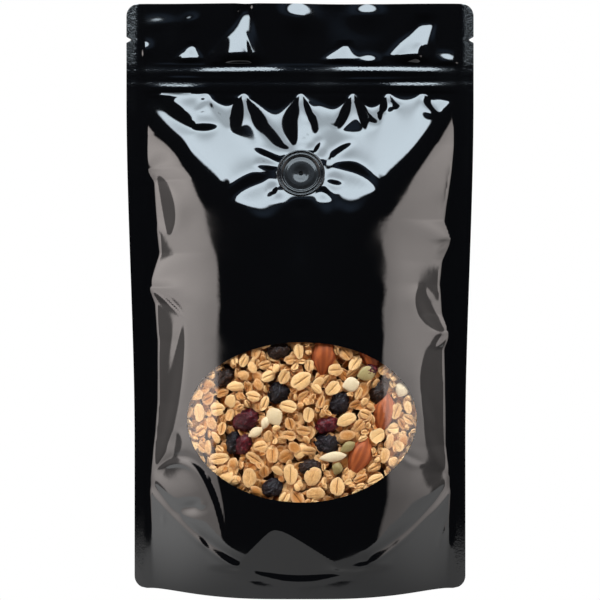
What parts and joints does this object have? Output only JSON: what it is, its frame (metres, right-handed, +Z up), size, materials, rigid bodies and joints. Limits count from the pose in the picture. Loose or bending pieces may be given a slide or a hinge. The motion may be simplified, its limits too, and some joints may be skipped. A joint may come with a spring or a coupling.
{
  "type": "stand-up pouch with window",
  "caption": "Filled stand-up pouch of black gloss film with a zip, a round one-way valve and a clear oval window over muesli.",
  "frame": {"origin": "middle of the footprint, on the surface that the pouch stands on", "axes": "+Z up to the zip and the top edge, +Y out of the back, so the window and the valve face -Y, +X to the right as seen from the front"},
  "size_m": [0.17, 0.0518, 0.286],
  "materials": {
    "black_film": "gloss",
    "muesli": "matt, toasted oats with nuts and dried fruit",
    "clear_film": "clear gloss",
    "valve_plastic": "satin"
  },
  "bodies": {
    "root": {"pouch": "black_film", "muesli": "muesli", "window_film": "clear_film", "valve": "valve_plastic"}
  },
  "joints": []
}
